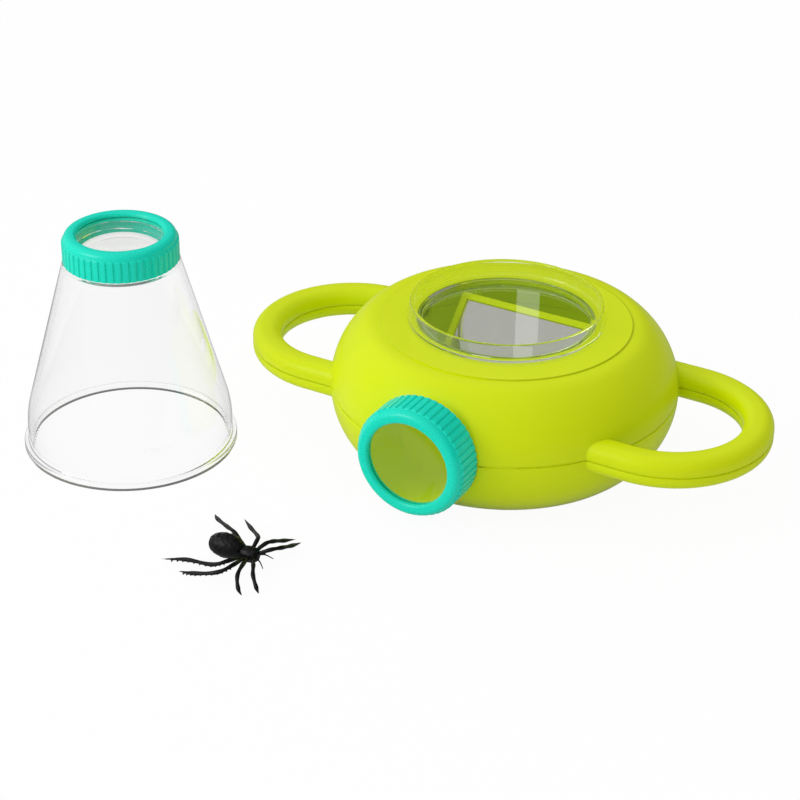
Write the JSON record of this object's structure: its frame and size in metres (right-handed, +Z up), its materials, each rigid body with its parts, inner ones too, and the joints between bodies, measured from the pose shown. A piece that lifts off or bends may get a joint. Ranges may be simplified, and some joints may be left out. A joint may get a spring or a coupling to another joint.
{
  "type": "bug viewer set",
  "caption": "Round housing with loop handles, clear dish over a tilted mirror and a screw-on eyepiece, with a clear conical jar that fits the dish and a toy spider.",
  "frame": {"origin": "centre of the housing's underside, on the surface it stands on", "axes": "+X along the two loop handles, -Y out of the eyepiece along the line of sight, +Z up"},
  "size_m": [0.3347, 0.2616, 0.1079],
  "materials": {
    "lime_lower": "smooth injection moulded, satin",
    "lime_upper": "smooth injection moulded, satin",
    "lime_frame": "smooth injection moulded",
    "lime_barrel": "smooth injection moulded",
    "clear_dish": "clear polystyrene, polished",
    "clear_jar": "clear polystyrene, polished",
    "clear_lens": "clear acrylic, polished",
    "mirror_silver": "silvered plastic",
    "foam_pad": "foam tape",
    "screw_steel": "zinc plated",
    "teal_ring": "smooth moulded with ribs",
    "teal_snap": "smooth moulded",
    "black_spider": "moulded with a bumpy skin, satin"
  },
  "bodies": {
    "base": {"lower_shell": "lime_lower", "upper_shell": "lime_upper", "viewing_dish": "clear_dish", "mirror_frame": "lime_frame", "mirror_plate": "mirror_silver", "mirror_pad": "foam_pad", "frame_screws": "screw_steel", "housing_screws": "screw_steel", "handle_screws": "screw_steel", "eyepiece_barrel": "lime_barrel"},
    "eyepiece_optic": {"eyepiece_lens": "clear_lens"},
    "eyepiece_cover": {"eyepiece_ring": "teal_ring", "eyepiece_snap_ring": "teal_snap"},
    "jar": {"jar_body": "clear_jar"},
    "jar_optic": {"jar_lens": "clear_lens"},
    "jar_cover": {"jar_cap": "teal_ring", "jar_snap_ring": "teal_snap"},
    "spider": {"toy_spider": "black_spider"}
  },
  "joints": [
    {"name": "eyepiece_rise", "type": "slide", "parent": "base", "child": "eyepiece_optic", "axis": [0, -1, 0], "range_m": [0, 0.006]},
    {"name": "eyepiece_turn", "type": "hinge", "parent": "eyepiece_optic", "child": "eyepiece_cover", "pos_m": [0, -0.0776, 0.0315], "axis": [0, -1, 0], "range_deg": [0, 540]},
    {"name": "jar_lift", "type": "slide", "parent": "base", "child": "jar", "axis": [0, 0, 1], "range_m": [0, 0.12]},
    {"name": "cap_rise", "type": "slide", "parent": "jar", "child": "jar_optic", "axis": [0, 0, 1], "range_m": [0, 0.006]},
    {"name": "cap_turn", "type": "hinge", "parent": "jar_optic", "child": "jar_cover", "pos_m": [-0.152, -0.0918, 0.0943], "axis": [0, 0, 1], "range_deg": [0, 540]},
    {"name": "spider_lift", "type": "slide", "parent": "base", "child": "spider", "axis": [0, 0, 1], "range_m": [0, 0.06]}
  ],
  "couplings": [
    {"joint": "eyepiece_rise", "follows": "eyepiece_turn", "m_per_rad": 0.00063662},
    {"joint": "cap_rise", "follows": "cap_turn", "m_per_rad": 0.00063662}
  ]
}
